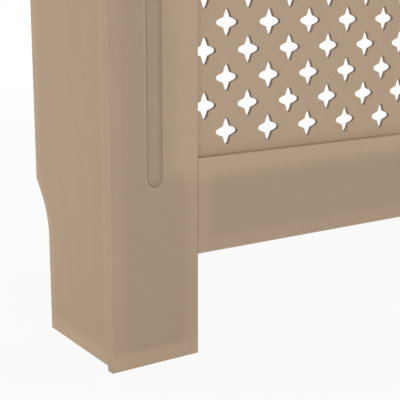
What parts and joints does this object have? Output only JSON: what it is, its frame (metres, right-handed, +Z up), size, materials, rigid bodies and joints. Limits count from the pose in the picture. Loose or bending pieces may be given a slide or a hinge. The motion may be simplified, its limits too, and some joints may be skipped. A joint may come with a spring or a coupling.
{
  "type": "radiator cover cabinet",
  "caption": "Raw fibreboard cover for a wall radiator: fluted stiles and rails round a grille pierced with small crosses, side panels notched for a skirting board, and a moulded shelf.",
  "frame": {"origin": "on the floor, under the middle of the shelf", "axes": "+X along the front to the right, +Y from the front back to the wall, +Z up"},
  "size_m": [0.78, 0.19, 0.815],
  "materials": {
    "raw_mdf": "raw medium-density fibreboard, sanded, unpainted",
    "pierced_mdf": "thin pierced fibreboard sheet, unpainted",
    "softwood": "planed softwood, unpainted",
    "beech": "fluted beech dowel",
    "zinc_plated_steel": "zinc-plated steel",
    "die_cast_zinc": "die-cast zinc alloy"
  },
  "bodies": {
    "root": {"left_stile": "raw_mdf", "right_stile": "raw_mdf", "bottom_rail": "raw_mdf", "top_rail": "raw_mdf", "grille_panel": "pierced_mdf", "grille_staples": "zinc_plated_steel", "left_side_panel": "raw_mdf", "right_side_panel": "raw_mdf", "left_corner_batten": "softwood", "right_corner_batten": "softwood", "shelf_batten": "softwood", "top_shelf": "raw_mdf", "batten_screws": "zinc_plated_steel", "shelf_screws": "zinc_plated_steel", "cam_bolts": "zinc_plated_steel", "cam_locks": "die_cast_zinc", "shelf_dowels": "beech", "left_wall_bracket": "zinc_plated_steel", "right_wall_bracket": "zinc_plated_steel", "bracket_screws": "zinc_plated_steel"}
  },
  "joints": []
}
